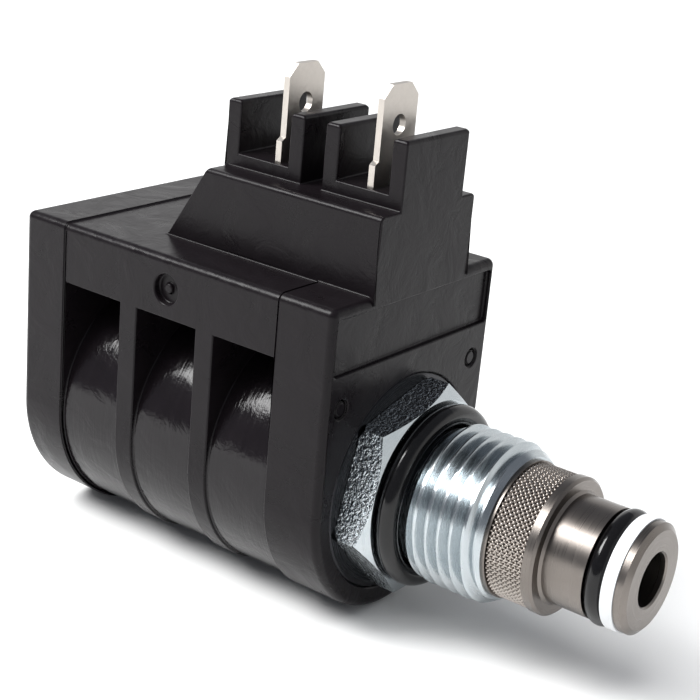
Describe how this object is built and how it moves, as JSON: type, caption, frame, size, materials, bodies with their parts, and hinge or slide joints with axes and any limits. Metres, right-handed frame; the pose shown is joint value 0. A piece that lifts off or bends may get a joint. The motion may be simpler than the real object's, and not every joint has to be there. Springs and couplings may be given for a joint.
{
  "type": "solenoid cartridge valve",
  "caption": "Screw-in solenoid cartridge valve with a pilot-operated poppet, a removable moulded coil, blade terminals and a filtered, sealed nose.",
  "frame": {"origin": "on the valve's axis, in the plane of the hexagon's front face, which seats on the manifold", "axes": "+X along the valve's axis towards the nose, +Z towards the tips of the blade terminals"},
  "size_m": [0.0854, 0.0316, 0.0621],
  "materials": {
    "zinc_plated_steel": "bright zinc plating with a faint blue tint",
    "machined_steel": "turned and oiled steel",
    "stainless_mesh": "woven stainless wire",
    "stainless_steel": "drawn stainless tube and wire",
    "dark_steel": "dark phosphated steel",
    "soft_iron": "machined soft magnetic iron",
    "shim_brass": "rolled brass shim",
    "black_nylon": "moulded glass-filled nylon, low sheen",
    "natural_nylon": "natural moulded nylon",
    "enamelled_copper": "enamelled winding wire",
    "polyester_tape": "yellow polyester tape",
    "tinned_brass": "bright tin plating on stamped brass",
    "nitrile_rubber": "moulded nitrile",
    "white_ptfe": "skived white fluoropolymer"
  },
  "bodies": {
    "cartridge": {"valve_body": "zinc_plated_steel", "cage": "machined_steel", "filter_screen": "stainless_mesh", "screen_ring": "machined_steel", "guide_tube": "stainless_steel", "pole_piece": "soft_iron", "pole_shim": "shim_brass", "boss_o_ring": "nitrile_rubber", "nose_o_ring": "nitrile_rubber", "nose_backup_ring": "white_ptfe"},
    "plunger": {"armature": "soft_iron", "pilot_pin": "machined_steel", "armature_spring": "stainless_steel"},
    "poppet": {"main_poppet": "machined_steel", "poppet_spring": "stainless_steel"},
    "coil": {"coil_housing": "black_nylon", "coil_bobbin": "natural_nylon", "coil_winding": "enamelled_copper", "winding_tape": "polyester_tape", "flux_frame": "soft_iron", "flux_washer": "dark_steel", "coil_front_seal": "nitrile_rubber", "coil_rear_seal": "nitrile_rubber", "terminal_blade_rear": "tinned_brass", "terminal_blade_front": "tinned_brass", "lead_wire_rear": "enamelled_copper", "lead_wire_front": "enamelled_copper"},
    "nut": {"retaining_nut": "zinc_plated_steel"}
  },
  "joints": [
    {"name": "armature_travel", "type": "slide", "parent": "cartridge", "child": "plunger", "axis": [-1, 0, 0], "range_m": [0, 0.002], "stiffness_N_per_m": 900, "springref_m": -0.003, "deforming": ["armature_spring"]},
    {"name": "poppet_lift", "type": "slide", "parent": "cartridge", "child": "poppet", "axis": [-1, 0, 0], "range_m": [0, 0.0015], "stiffness_N_per_m": 400, "springref_m": -0.002, "deforming": ["poppet_spring"]},
    {"name": "coil_swivel", "type": "hinge", "parent": "cartridge", "child": "coil", "pos_m": [0, 0, 0], "axis": [1, 0, 0], "continuous": true},
    {"name": "nut_turn", "type": "hinge", "parent": "cartridge", "child": "nut", "pos_m": [0, 0, 0], "axis": [1, 0, 0], "continuous": true}
  ],
  "couplings": [
    {"joint": "poppet_lift", "follows": "armature_travel", "ratio": 0.75}
  ]
}
